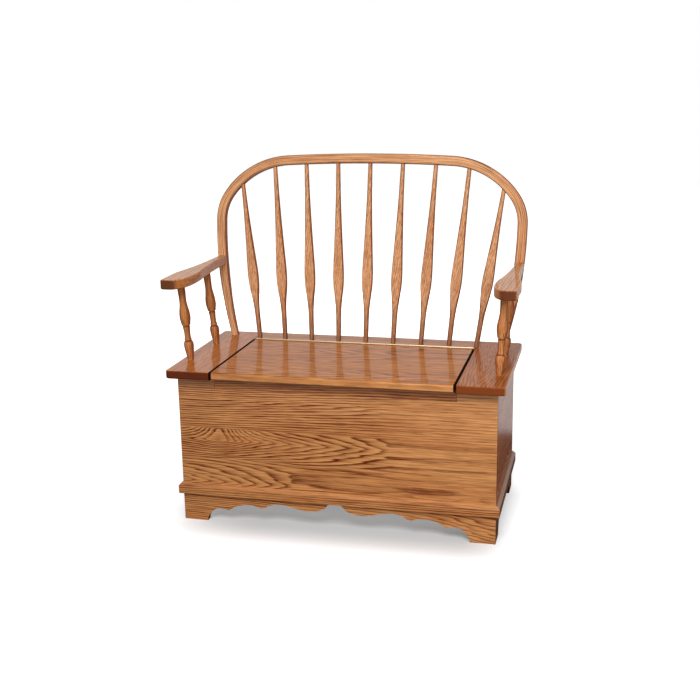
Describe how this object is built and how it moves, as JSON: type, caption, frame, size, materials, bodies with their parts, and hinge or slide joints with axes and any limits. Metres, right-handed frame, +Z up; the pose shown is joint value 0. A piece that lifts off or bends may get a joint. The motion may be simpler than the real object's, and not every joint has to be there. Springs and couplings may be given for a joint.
{
  "type": "storage bench",
  "caption": "Wooden storage bench with a hinged seat lid, a bent bow back with flattened spindles, arms on turned posts and a scalloped skirt.",
  "frame": {"origin": "on the floor below the middle of the bench's bounding box", "axes": "+X to the sitter's left as seen from the front (the viewer's right), +Y from the front to the back, +Z up"},
  "size_m": [1, 0.55, 1.0247],
  "materials": {
    "oak": "gloss lacquer",
    "brass": "polished"
  },
  "bodies": {
    "bench": {"front_panel": "oak", "left_panel": "oak", "right_panel": "oak", "back_panel": "oak", "chest_bottom": "oak", "cleat_front": "oak", "cleat_back": "oak", "cleat_left": "oak", "cleat_right": "oak", "seat_cleat_left": "oak", "seat_cleat_right": "oak", "seat_cleat_back": "oak", "skirt_front": "oak", "skirt_left": "oak", "skirt_right": "oak", "skirt_back": "oak", "corner_blocks": "oak", "moulding_front": "oak", "moulding_left": "oak", "moulding_right": "oak", "seat_end_left": "oak", "seat_end_right": "oak", "seat_rear_rail": "oak", "hinge_leaf_fixed": "brass", "hinge_pin": "brass", "hinge_screws_fixed": "brass", "bow": "oak", "spindle_1": "oak", "spindle_2": "oak", "spindle_3": "oak", "spindle_4": "oak", "spindle_5": "oak", "spindle_6": "oak", "spindle_7": "oak", "spindle_8": "oak", "spindle_9": "oak", "arm_left": "oak", "arm_right": "oak", "post_front_left": "oak", "post_front_right": "oak", "post_rear_left": "oak", "post_rear_right": "oak"},
    "lid": {"lid": "oak", "lid_apron": "oak", "lid_batten_left": "oak", "lid_batten_right": "oak", "hinge_leaf_lid": "brass", "hinge_screws_lid": "brass"}
  },
  "joints": [
    {"name": "lid_hinge", "type": "hinge", "parent": "bench", "child": "lid", "pos_m": [0, 0.12503, 0.461], "axis": [-1, 0, 0], "range_deg": [0, 100]}
  ]
}
